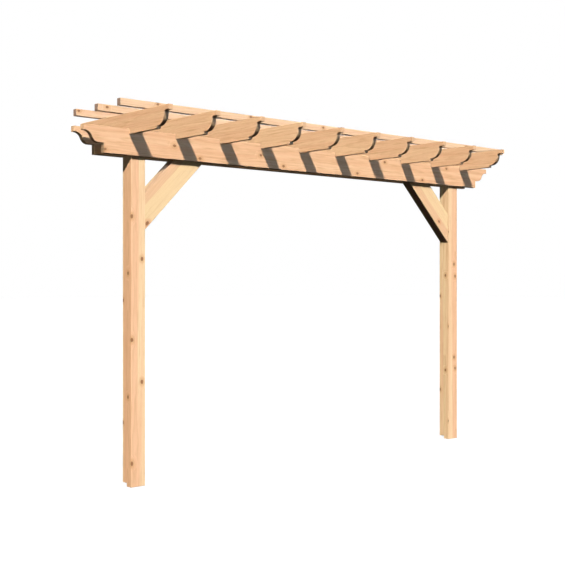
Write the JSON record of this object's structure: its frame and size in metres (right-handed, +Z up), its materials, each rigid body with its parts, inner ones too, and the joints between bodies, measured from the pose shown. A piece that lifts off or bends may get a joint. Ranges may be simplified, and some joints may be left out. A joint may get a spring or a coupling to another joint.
{
  "type": "wooden pergola",
  "caption": "Open timber pergola: posts with knee braces carry a pair of beams, notched rafters with shaped ends across them, and purlins on top.",
  "frame": {"origin": "middle of the bearing face at the foot of the left post, at ground level", "axes": "+X along the beams from the left post to the right post, +Y from front to back along the rafters, +Z up"},
  "size_m": [5.168, 1.348, 3.186],
  "materials": {
    "post_timber": "planed softwood with small brown knots, clear oiled",
    "beam_timber": "planed softwood with small brown knots, clear oiled",
    "brace_timber": "planed softwood with small brown knots, clear oiled",
    "rafter_timber": "planed softwood, clear oiled, darker end grain",
    "purlin_timber": "planed softwood, clear oiled, grey-brown end grain"
  },
  "bodies": {
    "root": {"left_post": "post_timber", "right_post": "post_timber", "front_beam": "beam_timber", "back_beam": "beam_timber", "left_brace": "brace_timber", "right_brace": "brace_timber", "rafter_01": "rafter_timber", "rafter_02": "rafter_timber", "rafter_03": "rafter_timber", "rafter_04": "rafter_timber", "rafter_05": "rafter_timber", "rafter_06": "rafter_timber", "rafter_07": "rafter_timber", "rafter_08": "rafter_timber", "rafter_09": "rafter_timber", "rafter_10": "rafter_timber", "purlin_front": "purlin_timber", "purlin_middle": "purlin_timber", "purlin_back": "purlin_timber"}
  },
  "joints": []
}
